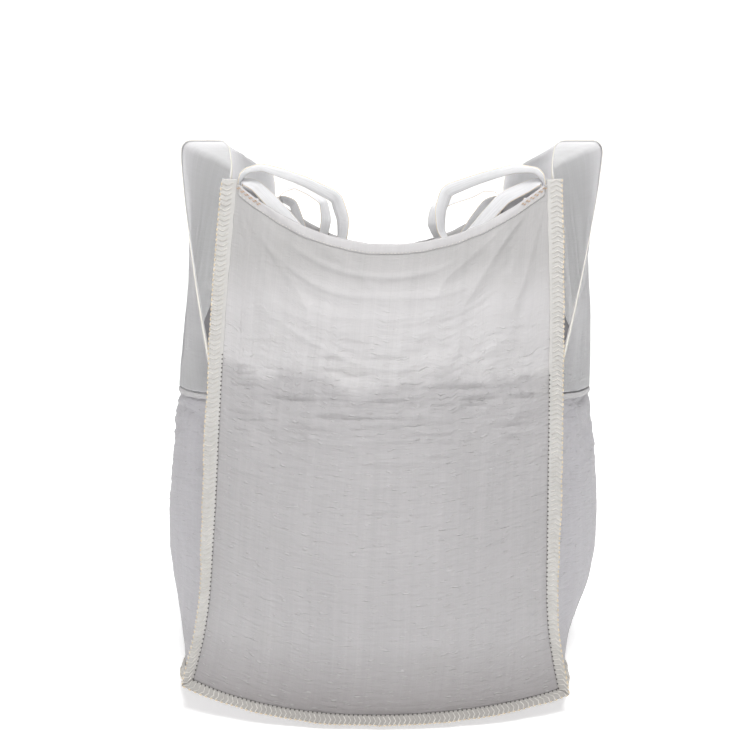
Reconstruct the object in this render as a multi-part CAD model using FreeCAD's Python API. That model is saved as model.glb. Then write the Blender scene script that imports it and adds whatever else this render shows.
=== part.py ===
"""Open-top bulk bag: five woven panels, two fork sleeves along its sides and four corner loops.

Millimetres, +Z up, front towards -Y. The bag is shaped as it hangs full: its walls bulge, its mouth
sags between the sleeves, and its base hangs a little to the left of the two fork tines.
"""

import FreeCAD
import Part
import math
import os
from FreeCAD import Vector

# Heights above the lowest point of the base.
CORNER_HEIGHT = 1312.0  # mouth of the bag at its four corners
CROWN_HEIGHT = 1410.0  # cloth over the top of a fork tine
MOUTH_SAG = 148.0  # how far the front and back rims dip between the corners
BASE_SEAM_MIDDLE = 31.0
BASE_SEAM_CORNER = 78.0
BASE_TILT = 11.0  # the base seam's left corners hang this much higher, and its right ones lower
SLEEVE_HEM_MIDDLE = 772.0
SLEEVE_HEM_CORNER = 798.0

# Fork sleeves.
TINE_INNER = 386.0  # inner face of each fork tine, from the middle of the mouth
TINE_OUTER = 497.0
CROWN_RADIUS = 22.0  # how tightly the cloth turns over a tine's edges
HEM_STAND_OFF = 4.0  # sleeve's outer ply from the side wall, at the hem
MOUTH_CURVE = 6  # how late the inner ply's foot swings out to the tine's face, towards each end: even

# Cloth, webbing and seams.
CLOTH = 2.0
WEBBING_WIDTH = 45.0
WEBBING = 2.0
FIN_WIDTH = 26.0  # sewn allowance that stands out of every seam
FIN_THICKNESS = 3.0
RIM_HEM_WIDTH = 26.0
BINDING_WIDTH = 11.0
LAP = 0.4  # gap between two layers of cloth
PLY = 1.4  # folded edge or binding

# Corner loops.
LOOP_FRONT = 430.0  # outer edge of the webbing, from the middle of the bag
TAIL_LENGTH = 190.0
TAIL_EDGE_GAP = 13.0  # sewn tail from the corner seam
TAIL_RIM_GAP = 8.0
STUB = [(8, -12), (8, 20), (32, 38)]  # fixed upper leg: inwards from the corner seam, up from its top
LOWER_STUB = [(14, -12), (22, 2), (49, -9)]
FLEX_GAP = 2.0  # between a fixed stub and the loop that bends away from it
# Where each loop bends: inwards from the corner seam and up from its top. Its legs start beside it.
LOOP_BEND = (34, 38)

# Each loop's route, measured the same way: over the top, down to its far end, and back underneath.
LOOP_ROUTES = {
    ("front", "left"): [(59, 43), (161, 12), (214, -18), (245, -66), (250, -126), (220, -188), (175, -180),
                        (142, -112), (93, -56), (52, -10)],
    ("front", "right"): [(77, 37), (150, 17), (228, -14), (252, -62), (251, -112), (226, -150), (186, -128),
                         (150, -90), (99, -35), (52, -10)],
    ("back", "left"): [(60, 46), (104, 28), (150, -4), (160, -62), (148, -122), (120, -178), (84, -160),
                       (80, -92), (66, -50), (52, -12)],
    ("back", "right"): [(62, 36), (104, 17), (164, -1), (216, -24), (228, -77), (206, -128), (166, -160),
                        (130, -122), (96, -72), (52, -12)],
}

# Grid used to shape one wall of cloth: points across it and points up it.
ACROSS = 13
UP = 17
EDGE = 0.9945  # a wall's cloth stops this share of the way to its corner seam


class Profile:
    """A size that changes smoothly with height, through a few (height, size) pairs."""

    def __init__(self, *pairs):
        self.heights = [h for h, _ in pairs]
        self.sizes = [s for _, s in pairs]

    def slope(self, i):
        low = max(i - 1, 0)
        high = min(i + 1, len(self.sizes) - 1)
        return (self.sizes[high] - self.sizes[low]) / (self.heights[high] - self.heights[low])

    def __call__(self, z):
        i = 0
        while i < len(self.heights) - 2 and z > self.heights[i + 1]:
            i += 1
        gap = self.heights[i + 1] - self.heights[i]
        t = (z - self.heights[i]) / gap
        rise = (1 + 2 * t) * (1 - t) ** 2 * self.sizes[i] + t * t * (3 - 2 * t) * self.sizes[i + 1]
        lean = t * (1 - t) ** 2 * self.slope(i) - t * t * (1 - t) * self.slope(i + 1)
        return rise + gap * lean


HALF_WIDTH = Profile((0, 470), (220, 426), (450, 414), (760, 403), (1000, 392), (CORNER_HEIGHT, 370))
HALF_DEPTH = Profile((0, 440), (220, 407), (450, 397), (780, 405), (1000, 420), (CORNER_HEIGHT, 437))
END_BULGE = Profile((0, 40), (100, 74), (250, 118), (450, 132), (780, 100), (1000, 58), (CORNER_HEIGHT, 20))
SIDE_BULGE = Profile((0, 30), (100, 95), (250, 168), (450, 196), (780, 172), (1000, 98), (1200, 24),
                     (CORNER_HEIGHT, 0))
# What the right wall's bulge has more than the left one's.
RIGHT_BULGE = Profile((0, 0), (100, 4), (250, 21), (450, 9), (780, 0), (CORNER_HEIGHT, 0))
SWAY = Profile((0, -24), (450, -6), (780, 4), (CORNER_HEIGHT, 21))
TOP_SWAY = SWAY(CORNER_HEIGHT)
TOP_HALF_DEPTH = HALF_DEPTH(CORNER_HEIGHT)


def dome(across):
    """1 in the middle of a wall and 0 at both of its seams."""
    return 1 - across * across


def base_seam_height(u, v):
    """Height of the base seam: u is 1 at the right wall, and v is 1 at the back one."""
    rise = (BASE_SEAM_CORNER - BASE_SEAM_MIDDLE) * u * u - BASE_TILT * u * abs(u)
    return BASE_SEAM_MIDDLE + rise * v * v


def rim_height(across):
    return CORNER_HEIGHT - MOUTH_SAG * dome(across)


def hem_height(across):
    return SLEEVE_HEM_CORNER - (SLEEVE_HEM_CORNER - SLEEVE_HEM_MIDDLE) * dome(across)


def end_wall(sign, across, z):
    """A point of the front (sign -1) or back (sign 1) wall."""
    y = sign * (HALF_DEPTH(z) + END_BULGE(z) * dome(across))
    return Vector(SWAY(z) + across * HALF_WIDTH(z), y, z)


def side_bulge(sign, z):
    """How far the middle of the left (sign below 0) or right wall stands out."""
    return SIDE_BULGE(z) + (RIGHT_BULGE(z) if sign > 0 else 0)


def side_wall(sign, across, z):
    """A point of the left (sign -1) or right (sign 1) wall."""
    x = SWAY(z) + sign * (HALF_WIDTH(z) + side_bulge(sign, z) * dome(across))
    return Vector(x, across * HALF_DEPTH(z), z)


def end_cloth(sign):
    """The end wall as a surface: across from -1 to 1, and up from 0 at the base seam to 1 at the rim."""

    def point(across, up):
        low = base_seam_height(across, 1)
        return end_wall(sign, across, low + up * (rim_height(across) - low))

    return point


def side_cloth(sign):
    """The side wall as a surface, up from 0 at the base to 1 at the corner height."""

    def point(across, up):
        low = base_seam_height(sign, across)
        return side_wall(sign, across, low + up * (CORNER_HEIGHT - low))

    return point


def normal(point, u, v):
    """The surface's unit normal, from points a little to each side."""
    step = 1e-3
    du = point(u + step, v) - point(u - step, v)
    dv = point(u, v + step) - point(u, v - step)
    return du.cross(dv).normalize()


def span(low, high, count):
    return [low + (high - low) * i / (count - 1) for i in range(count)]


def skin(point, us, vs, offset):
    """The surface, moved along its normal by offset."""
    surface = Part.BSplineSurface()
    surface.interpolate([[point(u, v) + normal(point, u, v) * offset for v in vs] for u in us])
    return surface


def closed(faces):
    """One solid from faces that meet edge to edge."""
    shell = Part.makeShell(faces)
    shell.sewShape()
    solid = Part.makeSolid(Part.makeShell(shell.Faces))
    if solid.Volume < 0:
        solid.reverse()
    return solid


def ruled(a, b):
    return Part.makeRuledSurface(a.toShape(), b.toShape())


def plane_face(surface):
    """A flat four-sided surface as a true plane, between the same edges."""
    u0, u1, v0, v1 = surface.bounds()
    sides = [surface.vIso(v0), surface.uIso(u1), surface.vIso(v1), surface.uIso(u0)]
    edges = Part.sortEdges([side.toShape() for side in sides])[0]
    return Part.Face(Part.Wire(edges))


def sheet(point, us, runs, low, high, flat_run=None):
    """A sheet of cloth between two offsets of one surface, over the grid us by each run in turn.

    The run numbered flat_run lies flat, and its two skins are made true planes.
    """
    faces = []
    for number, vs in enumerate(runs):
        near, far = skin(point, us, vs, low), skin(point, us, vs, high)
        u0, u1, v0, v1 = near.bounds()
        U0, U1, V0, V1 = far.bounds()
        if number == flat_run:
            faces += [plane_face(near), plane_face(far)]
        else:
            faces += [near.toShape(), far.toShape()]
        faces += [ruled(near.uIso(u0), far.uIso(U0)), ruled(near.uIso(u1), far.uIso(U1))]
        if vs is runs[0]:
            faces.append(ruled(near.vIso(v0), far.vIso(V0)))
        if vs is runs[-1]:
            faces.append(ruled(near.vIso(v1), far.vIso(V1)))
    return closed(faces)


def panel(point):
    return sheet(point, span(-EDGE, EDGE, ACROSS), [span(0, 1, UP)], -CLOTH / 2, CLOTH / 2)


def base_panel():
    """The base: flat in the middle, rising to the base seams, and trimmed flat where it rests."""
    flat = 0.5  # share of each half side that lies flat

    def rise(share):
        return max(0.0, (abs(share) - flat) / (1 - flat)) ** 2

    def point(u, v):
        seam = base_seam_height(u, v)
        lift = 1 - (1 - rise(u)) * (1 - rise(v))
        x = SWAY(seam) + u * (HALF_WIDTH(seam) + side_bulge(u, seam) * dome(v))
        y = v * (HALF_DEPTH(seam) + END_BULGE(seam) * dome(u))
        return Vector(x, y, seam * lift + CLOTH / 4)

    cloth = sheet(point, span(-EDGE, EDGE, UP), [span(-EDGE, EDGE, UP)], -CLOTH / 2, CLOTH / 2)
    reach = 1600.0  # wider than the bag
    below = Part.makeBox(reach, reach, CLOTH * 5, Vector(-reach / 2, -reach / 2, -CLOTH * 5))
    return cloth.cut(below).Solids[0]


def sleeve_cloth(sign):
    """A fork sleeve in five runs, up counting them: from the mouth, over the tine and down to the hem."""
    turn_height = CROWN_HEIGHT - CROWN_RADIUS
    mouth = HALF_WIDTH(CORNER_HEIGHT)

    def point(across, up):
        run, share = min(int(up), 4), up - min(int(up), 4)
        deep = across * TOP_HALF_DEPTH
        if run == 0:
            flare = share + across ** MOUTH_CURVE * (1 - share) ** 2
            out = mouth + (TINE_INNER - mouth) * flare
            z = CORNER_HEIGHT + (turn_height - CORNER_HEIGHT) * share
        elif run == 1:
            out = TINE_INNER + CROWN_RADIUS * (1 - math.cos(share * math.pi / 2))
            z = turn_height + CROWN_RADIUS * math.sin(share * math.pi / 2)
        elif run == 2:
            out = TINE_INNER + CROWN_RADIUS + (TINE_OUTER - TINE_INNER - 2 * CROWN_RADIUS) * share
            z = CROWN_HEIGHT
        elif run == 3:
            out = TINE_OUTER - CROWN_RADIUS * (1 - math.sin(share * math.pi / 2))
            z = turn_height + CROWN_RADIUS * math.cos(share * math.pi / 2)
        else:
            hem = side_wall(sign, across, hem_height(across))
            out = TINE_OUTER + (sign * (hem.x - TOP_SWAY) + HEM_STAND_OFF - TINE_OUTER) * share
            z = turn_height + (hem.z - turn_height) * share
            deep += (hem.y - deep) * share
        return Vector(TOP_SWAY + sign * out, deep, z)

    return point


SLEEVE_ACROSS = 7
CROWN_RUN = 2  # the flat cloth that bears on the tine
SLEEVE_START = 0.05  # share of the first run, clear of the side wall's top edge
SLEEVE_END = 4.988  # clear of the hem
BINDING_END = 4.955  # clear of the corner seam
HEM_EDGE = 0.982  # a hem's roll stops this share of the way to the corner seam


def sleeve_runs(last):
    """The runs as a list each. The second turn and the outer ply are one, as they share no straight edge."""
    outer = span(3, 4, 6) + span(4.05, 4.3, 4) + span(4.4, last, 6)
    return [span(SLEEVE_START, 1, 4), span(1, 2, 6), span(2, 3, 4), outer]


def sleeve(sign):
    across = span(-1, 1, SLEEVE_ACROSS)
    return sheet(sleeve_cloth(sign), across, sleeve_runs(SLEEVE_END), -CLOTH / 2, CLOTH / 2, CROWN_RUN)


def sleeve_binding(sign, end):
    """The folded strip that finishes one mouth of a fork sleeve."""
    inside = end * (1 - BINDING_WIDTH / TOP_HALF_DEPTH)
    start = -sign * (CLOTH / 2 + LAP)
    across = span(end, inside, 4)
    return sheet(sleeve_cloth(sign), across, sleeve_runs(BINDING_END), start, start - sign * PLY)


def sleeve_hem(sign):
    """The rolled hem that joins a sleeve's outer ply to the side wall."""
    tall = 12.0
    ridge = 5.0
    start = CLOTH / 2 + LAP

    def point(across, up):
        return side_wall(sign, across, hem_height(across) - tall * (1 - up))

    us = span(-HEM_EDGE, HEM_EDGE, ACROSS)
    return sheet(point, us, [span(0, 1, 4)], sign * start, sign * (start + ridge))


def rim_hem(sign):
    """The turned-over edge along the front or back rim."""

    def point(across, up):
        return end_wall(sign, across, rim_height(across) - RIM_HEM_WIDTH * (1 - up))

    start = -sign * (CLOTH / 2 + LAP)
    return sheet(point, span(-EDGE, EDGE, ACROSS), [span(0, 1, 4)], start, start - sign * PLY)


FIN_ROOT = 0.12  # share of the allowance's width that the seam itself takes up
EAR_CURVE = 6  # how late a bottom seam turns to meet the ear at its end
BOTTOM_SEAM_END = 0.975  # clear of the corner seams


def corner_fin(side, end):
    """Where the tip of the sewn allowance stands, from a corner seam at a given height."""
    upright = Vector(side * 0.93, end * 0.36, 0)
    ear = Vector(side * 0.72, end * 0.46, -0.52)
    ear_height = 170.0
    ear_extra = 0.2  # share by which an ear is wider than the rest

    def reach(z):
        share = min(1.0, max(0.0, (z - BASE_SEAM_CORNER) / ear_height))
        way = ear + (upright - ear) * (share * share * (3 - 2 * share))
        return way.normalize() * (FIN_WIDTH * (1 + ear_extra * (1 - share)))

    return reach


def upright_seam(side, end):
    """The allowance along one of the four corner seams."""
    reach = corner_fin(side, end)
    low = base_seam_height(side, 1)

    def point(out, up):
        z = low + up * (CORNER_HEIGHT - low)
        return side_wall(side, end, z) + reach(z) * out

    return sheet(point, span(FIN_ROOT, 1, 4), [span(0, 1, 2 * UP)], -FIN_THICKNESS / 2, FIN_THICKNESS / 2)


def bottom_seam(wall, outward, corner):
    """The allowance along one base seam, which runs out into an ear at each corner."""
    middle = (outward * 0.62 + Vector(0, 0, -0.64)) * FIN_WIDTH

    def point(out, across):
        ear = corner(across)(BASE_SEAM_CORNER)
        reach = middle + (ear - middle) * abs(across) ** EAR_CURVE
        return wall(across) + reach * out

    along = [span(-BOTTOM_SEAM_END, BOTTOM_SEAM_END, 41)]
    return sheet(point, span(FIN_ROOT, 1, 4), along, -FIN_THICKNESS / 2, FIN_THICKNESS / 2)


def end_bottom_seam(end):
    return bottom_seam(lambda a: end_wall(end, a, base_seam_height(a, 1)), Vector(0, end, 0),
                       lambda a: corner_fin(math.copysign(1, a), end))


def side_bottom_seam(side):
    return bottom_seam(lambda a: side_wall(side, a, base_seam_height(side, a)), Vector(side, 0, 0),
                       lambda a: corner_fin(side, math.copysign(1, a)))


def rounded_wire(points):
    """Straight runs joined by tangent arcs."""
    edges = []
    start = points[0]
    for before, corner, after in zip(points, points[1:], points[2:]):
        back = (before - corner).normalize()
        ahead = (after - corner).normalize()
        reach = 0.45 * min(before.distanceToPoint(corner), after.distanceToPoint(corner))
        radius = reach * math.tan(back.getAngle(ahead) / 2)
        middle = corner + (back + ahead).normalize() * (math.hypot(reach, radius) - radius)
        arc_start, arc_end = corner + back * reach, corner + ahead * reach
        edges.append(Part.LineSegment(start, arc_start).toShape())
        edges.append(Part.Arc(arc_start, middle, arc_end).toShape())
        start = arc_end
    edges.append(Part.LineSegment(start, points[-1]).toShape())
    return Part.Wire(edges)


def webbing(side, end, route):
    """A flat band that follows a route in from a corner: across is inwards, and height is from its top."""
    edge = end * LOOP_FRONT
    far = edge - end * WEBBING_WIDTH
    corner = Vector(TOP_SWAY + side * HALF_WIDTH(CORNER_HEIGHT), edge, CORNER_HEIGHT)
    points = [corner + Vector(-side * across, 0, height) for across, height in route]
    along = (points[1] - points[0]).normalize()
    flat = along.cross(Vector(0, 1, 0)) * (WEBBING / 2)
    near = [points[0] + flat, points[0] - flat]
    section = near + [Vector(p.x, far, p.z) for p in reversed(near)]
    return rounded_wire(points).makePipeShell([Part.makePolygon(section + section[:1])], True, False)


def loop(side, end, route):
    """The free part of a corner loop, which bends beside its fixed stubs."""
    start = (LOOP_BEND[0] + FLEX_GAP / 2, LOOP_BEND[1])
    return webbing(side, end, [start] + route)


def loop_ends(side, end):
    """A loop's fixed stubs, and its two tails: one sewn inside the end wall and one inside the side wall."""
    start = CLOTH / 2 + LAP

    def tail(wall, half, inward, near, top):
        first = near * (1 - TAIL_EDGE_GAP / half)
        last = near * (1 - (TAIL_EDGE_GAP + WEBBING_WIDTH) / half)

        def point(across, up):
            return wall(across, top(across) - TAIL_RIM_GAP - TAIL_LENGTH * (1 - up))

        return sheet(point, span(first, last, 4), [span(0, 1, 6)], inward * start, inward * (start + WEBBING))

    on_end = tail(lambda a, z: end_wall(end, a, z), HALF_WIDTH(CORNER_HEIGHT), end, side, rim_height)
    on_side = tail(lambda a, z: side_wall(side, a, z), TOP_HALF_DEPTH, -side, end, lambda a: CORNER_HEIGHT)
    stubs = [webbing(side, end, STUB), webbing(side, end, LOWER_STUB)]
    return Part.makeCompound([on_end, on_side] + stubs)


def parts():
    """Every node's name and shape."""
    made = {"base_panel": base_panel()}
    ends = {"front": -1, "back": 1}
    sides = {"left": -1, "right": 1}
    for name, sign in ends.items():
        made[name + "_panel"] = panel(end_cloth(sign))
        made[name + "_rim_hem"] = rim_hem(sign)
        made[name + "_bottom_seam"] = end_bottom_seam(sign)
    for name, sign in sides.items():
        made[name + "_panel"] = panel(side_cloth(sign))
        made[name + "_bottom_seam"] = side_bottom_seam(sign)
        made[name + "_sleeve"] = sleeve(sign)
        made[name + "_sleeve_hem"] = sleeve_hem(sign)
    for end_name, end in ends.items():
        for side_name, side in sides.items():
            corner = end_name + "_" + side_name
            made[corner + "_seam"] = upright_seam(side, end)
            made[corner + "_loop"] = loop(side, end, LOOP_ROUTES[end_name, side_name])
            made[corner + "_loop_ends"] = loop_ends(side, end)
            made[side_name + "_sleeve_" + end_name + "_binding"] = sleeve_binding(side, end)
    return made


def centred(made):
    """The nodes moved so that the middle of their box's foot is over the origin, and the move."""
    box = Part.makeCompound(list(made.values())).optimalBoundingBox(False, False)
    move = Vector(-box.Center.x, -box.Center.y, 0)
    return {node: shape.translated(move) for node, shape in made.items()}, move


os.makedirs("parts", exist_ok=True)
placed, shift = centred(parts())
print("moved by", shift)
for node, shape in placed.items():
    box = shape.BoundBox
    print(f"{node:28s} valid {shape.isValid()} solids {len(shape.Solids)} {shape.Volume / 1000:9.1f} cm3"
          f"  x {box.XMin:7.1f} {box.XMax:7.1f}  y {box.YMin:7.1f} {box.YMax:7.1f}"
          f"  z {box.ZMin:7.1f} {box.ZMax:7.1f}")
    shape.exportStep(f"parts/{node}.step")
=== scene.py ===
"""A full open-top bulk bag: woven panels, fork sleeves, overlocked seams and webbing corner loops."""

import bpy
import math
import numpy as np
from bpy.props import FloatProperty, FloatVectorProperty, IntProperty, PointerProperty
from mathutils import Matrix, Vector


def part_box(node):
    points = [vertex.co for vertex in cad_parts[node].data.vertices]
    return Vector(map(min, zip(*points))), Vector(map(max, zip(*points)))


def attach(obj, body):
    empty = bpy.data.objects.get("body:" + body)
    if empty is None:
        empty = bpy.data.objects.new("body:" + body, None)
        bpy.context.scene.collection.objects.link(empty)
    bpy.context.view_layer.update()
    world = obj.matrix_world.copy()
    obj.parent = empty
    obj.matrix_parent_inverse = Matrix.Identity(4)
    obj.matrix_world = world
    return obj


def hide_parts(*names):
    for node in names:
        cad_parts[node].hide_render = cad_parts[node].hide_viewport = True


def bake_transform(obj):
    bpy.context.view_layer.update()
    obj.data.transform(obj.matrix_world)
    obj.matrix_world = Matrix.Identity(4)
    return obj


bl_info = {
    "name": "Bulk Bag",
    "version": (1, 0, 0),
    "blender": (4, 5, 0),
    "location": "View3D > Sidebar > Bulk Bag",
    "description": "Woven cloth, seams and webbing of a full bulk bag with fork sleeves",
    "category": "Object",
}

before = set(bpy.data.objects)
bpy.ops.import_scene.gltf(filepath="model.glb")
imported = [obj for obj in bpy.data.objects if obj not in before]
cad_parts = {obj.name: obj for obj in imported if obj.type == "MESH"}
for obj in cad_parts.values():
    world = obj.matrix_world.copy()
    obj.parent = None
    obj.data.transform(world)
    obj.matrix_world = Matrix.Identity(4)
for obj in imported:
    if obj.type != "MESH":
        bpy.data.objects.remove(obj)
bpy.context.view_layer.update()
MM = 0.001
ROOT = "bag"

# ---------------------------------------------------------------------------------------------
# Shape of the bag, in millimetres, before it is moved over the frame's origin.

CORNER_HEIGHT = 1312.0
CROWN_HEIGHT = 1410.0
MOUTH_SAG = 148.0
BASE_SEAM_MIDDLE = 31.0
BASE_SEAM_CORNER = 78.0
BASE_TILT = 11.0
SLEEVE_HEM_MIDDLE = 772.0
SLEEVE_HEM_CORNER = 798.0
TINE_INNER = 386.0
TINE_OUTER = 497.0
CROWN_RADIUS = 22.0
MOUTH_CURVE = 6
HEM_STAND_OFF = 4.0
SLEEVE_BILLOW = 13.0  # how far the outer ply stands out from a straight fall, half way down
FIN_WIDTH = 26.0
WEBBING_WIDTH = 45.0
WEBBING_THICKNESS = 2.0
STITCH_PITCH = 11.0
HOLE_TOP = 860.0  # the fill pulls the needle holes open below this height
FILL_LEVEL = 0.83  # metres: a little above it the cloth turns paler; below that the cloth gets painted shade, as the goods stop the light that shines through the cloth above them
FIN_ROOT = -0.12  # where an allowance's cloth starts inside the seam, as a share of its width
FIN_THICKNESS = 2.6
SLEEVE_HEM_WIDTH = 13.0
BINDING_WIDTH = 11.0
RIM_HEM_WIDTH = 24.0
RIM_STITCH_DROP = 19.0
TAIL_INSET = 13.0
TAIL_LENGTH = 190.0
TAIL_STAND_OFF = 8.5
TAPE_WIDTH = 0.0028  # metres, of the flat tape that the cloth is woven from
SIDE_NAMES = {-1: "left", 1: "right"}
END_NAMES = {-1: "front", 1: "back"}

# Depth, width and height in millimetres of each size of dent, crease and gather.
DENTS = ((7.0, 260, 300), (3.4, 110, 150), (1.3, 42, 60))
WEFT_CREASES = ((2.3, 75, 14), (2.9, 120, 33))
SEAM_GATHERS = ((1.5, 13, 60), (1.3, 34, 90))
GATHER_REACH = 26.0
CORNER_FAN_DEPTH, CORNER_FAN_REACH = 9.5, 430.0
CORNER_FINE_DEPTH, CORNER_FINE_REACH = 2.6, 300.0
SEAM_CALM = 0.25  # the share of a wall's folds that is left at a sewn edge

# Length, width and height in metres of the small stitches.
STITCH_SIZES = {
    "edge bead": (0.0100, 0.0044, 0.0052),
    "needle hole": (0.0042, 0.0040, 0.0014),
    "tail": (0.010, 0.0014, 0.0012),
    "corner bar": (0.008, 0.0019, 0.0016),
    "rim": (0.0062, 0.0016, 0.0012),
}


class Profile:
    """A size that changes smoothly with height, through a few (height, size) pairs."""

    def __init__(self, *pairs):
        self.heights = np.array([h for h, _ in pairs], float)
        self.sizes = np.array([s for _, s in pairs], float)
        ends = np.arange(len(pairs))
        low = np.maximum(ends - 1, 0)
        high = np.minimum(ends + 1, len(pairs) - 1)
        rise = self.sizes[high] - self.sizes[low]
        self.slopes = rise / (self.heights[high] - self.heights[low])

    def __call__(self, z):
        i = np.clip(np.searchsorted(self.heights, z) - 1, 0, len(self.heights) - 2)
        span = self.heights[i + 1] - self.heights[i]
        t = (z - self.heights[i]) / span
        rise = (1 + 2 * t) * (1 - t) ** 2 * self.sizes[i] + t * t * (3 - 2 * t) * self.sizes[i + 1]
        lean = t * (1 - t) ** 2 * self.slopes[i] - t * t * (1 - t) * self.slopes[i + 1]
        return rise + span * lean


HALF_WIDTH = Profile((0, 470), (220, 426), (450, 414), (760, 403), (1000, 392), (CORNER_HEIGHT, 370))
HALF_DEPTH = Profile((0, 440), (220, 407), (450, 397), (780, 405), (1000, 420), (CORNER_HEIGHT, 437))
END_BULGE = Profile((0, 40), (100, 74), (250, 118), (450, 132), (780, 100), (1000, 58), (CORNER_HEIGHT, 20))
SIDE_BULGE = Profile((0, 30), (100, 95), (250, 168), (450, 196), (780, 172), (1000, 98), (1200, 24),
                     (CORNER_HEIGHT, 0))
RIGHT_BULGE = Profile((0, 0), (100, 4), (250, 21), (450, 9), (780, 0), (CORNER_HEIGHT, 0))
SWAY = Profile((0, -24), (450, -6), (780, 4), (CORNER_HEIGHT, 21))
TOP_SWAY = float(SWAY(CORNER_HEIGHT))
TOP_HALF_DEPTH = float(HALF_DEPTH(CORNER_HEIGHT))
TOP_HALF_WIDTH = float(HALF_WIDTH(CORNER_HEIGHT))


def stack(x, y, z):
    return np.stack(np.broadcast_arrays(x, y, z), axis=-1).astype(float)


def dome(across):
    return 1 - across * across


def base_seam_height(u, v):
    rise = (BASE_SEAM_CORNER - BASE_SEAM_MIDDLE) * u * u - BASE_TILT * u * np.abs(u)
    return BASE_SEAM_MIDDLE + rise * v * v


def rim_height(across):
    return CORNER_HEIGHT - MOUTH_SAG * dome(across)


def hem_height(across):
    return SLEEVE_HEM_CORNER - (SLEEVE_HEM_CORNER - SLEEVE_HEM_MIDDLE) * dome(across)


def end_wall(end, across, z):
    return stack(SWAY(z) + across * HALF_WIDTH(z), end * (HALF_DEPTH(z) + END_BULGE(z) * dome(across)), z)


def side_bulge(side, z):
    return SIDE_BULGE(z) + np.where(side > 0, RIGHT_BULGE(z), 0)


def side_wall(side, across, z):
    x = SWAY(z) + side * (HALF_WIDTH(z) + side_bulge(np.asarray(side), z) * dome(across))
    return stack(x, across * HALF_DEPTH(z), z)


def base_cloth(u, v):
    """The base: flat in the middle, rising to its seams."""
    seam = base_seam_height(u, v)

    def rise(share):
        return np.maximum(0, (np.abs(share) - 0.5) * 2) ** 2

    lift = 1 - (1 - rise(u)) * (1 - rise(v))
    x = SWAY(seam) + u * (HALF_WIDTH(seam) + side_bulge(u, seam) * dome(v))
    return stack(x, v * (HALF_DEPTH(seam) + END_BULGE(seam) * dome(u)), seam * lift)


def sleeve_cloth(side, across, along):
    """A fork sleeve: along runs from 0 at the mouth, over the crown from 1 to 4, and to 5 at the hem."""
    turn_height = CROWN_HEIGHT - CROWN_RADIUS
    run = np.clip(np.floor(along), 0, 4)
    share = along - run
    hem_z = hem_height(across)
    hem = side_wall(side, across, hem_z)
    bend = share * math.pi / 2
    flare = share + across ** MOUTH_CURVE * (1 - share) ** 2
    flare = TOP_HALF_WIDTH + (TINE_INNER - TOP_HALF_WIDTH) * flare
    hem_out = side * (hem[..., 0] - TOP_SWAY) + HEM_STAND_OFF
    billow = SLEEVE_BILLOW * np.abs(np.sin(math.pi * share)) ** 0.6
    fall = TINE_OUTER + (hem_out - TINE_OUTER) * share + billow
    picks = [run == 0, run == 1, run == 2, run == 3]
    out = np.select(picks, [
        flare,
        TINE_INNER + CROWN_RADIUS * (1 - np.cos(bend)),
        TINE_INNER + CROWN_RADIUS + (TINE_OUTER - TINE_INNER - 2 * CROWN_RADIUS) * share,
        TINE_OUTER - CROWN_RADIUS * (1 - np.sin(bend)),
    ], fall)
    height = np.select(picks, [
        CORNER_HEIGHT + (turn_height - CORNER_HEIGHT) * share,
        turn_height + CROWN_RADIUS * np.sin(bend),
        CROWN_HEIGHT + 0 * share,
        turn_height + CROWN_RADIUS * np.cos(bend),
    ], turn_height + (hem_z - turn_height) * share)
    straight = across * TOP_HALF_DEPTH
    deep = np.where(run == 4, straight + (hem[..., 1] - straight) * share, straight)
    return stack(TOP_SWAY + side * out, deep, height)


# The frame's left wall reaches as far left as this shape's does, so the two boxes give the move between them.
_edge = side_wall(-1, 0.0, np.linspace(50, 1300, 400))[:, 0].min() - 1.0
SHIFT = np.array([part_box("left_panel")[0][0] / MM - _edge, 0.0, 0.0])


# ---------------------------------------------------------------------------------------------
# Relief: smooth seeded noise and the folds that are made from it.

def lattice(seed):
    return np.random.default_rng(seed).uniform(-1, 1, (64, 64))


def noise(x, y, seed):
    """Smooth noise from -1 to 1, one cell to a unit."""
    table = lattice(seed)
    x, y = np.broadcast_arrays(np.asarray(x, float), np.asarray(y, float))
    i, j = np.floor(x).astype(int), np.floor(y).astype(int)
    s, t = x - i, y - j
    s, t = s * s * s * (s * (6 * s - 15) + 10), t * t * t * (t * (6 * t - 15) + 10)
    a, b = table[i % 64, j % 64], table[(i + 1) % 64, j % 64]
    c, d = table[i % 64, (j + 1) % 64], table[(i + 1) % 64, (j + 1) % 64]
    return (a * (1 - s) + b * s) * (1 - t) + (c * (1 - s) + d * s) * t


def ridges(x, y, seed):
    """Noise with narrow crests, as in pulled cloth, from about -0.5 to 0.5."""
    return 0.5 - np.abs(noise(x, y, seed)) ** 0.8 * 1.6


def smooth(low, high, value):
    t = np.clip((value - low) / (high - low), 0, 1)
    return t * t * (3 - 2 * t)


def layers(pattern, sizes, x, z, seed):
    """A pattern at several sizes, added up."""
    return sum(depth * pattern(x / wide, z / high, seed + i) for i, (depth, wide, high) in enumerate(sizes))


def corner_pull(across, z, seed):
    """Folds that fan out of a wall's two top corners."""
    total = 0
    for side in (-1, 1):
        inward = (1 - side * across) * HALF_WIDTH(z)
        below = CORNER_HEIGHT - z
        reach = np.hypot(inward, below)
        angle = np.arctan2(below, inward)
        bent = angle * 5.6 + 0.5 * noise(reach / 160, angle * 2, seed + side)
        fan = ridges(bent, reach / 420, seed + 4 + side)
        fine = ridges(angle * 14, reach / 240, seed + 9 + side)
        edge = smooth(0.10, 0.32, angle) * (1 - smooth(1.30, 1.55, angle))
        fan = CORNER_FAN_DEPTH * fan * np.exp(-((reach / CORNER_FAN_REACH) ** 2))
        fine = CORNER_FINE_DEPTH * fine * np.exp(-((reach / CORNER_FINE_REACH) ** 2))
        total = total + edge * smooth(30, 120, reach) * (fan + fine)
    return total


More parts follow.
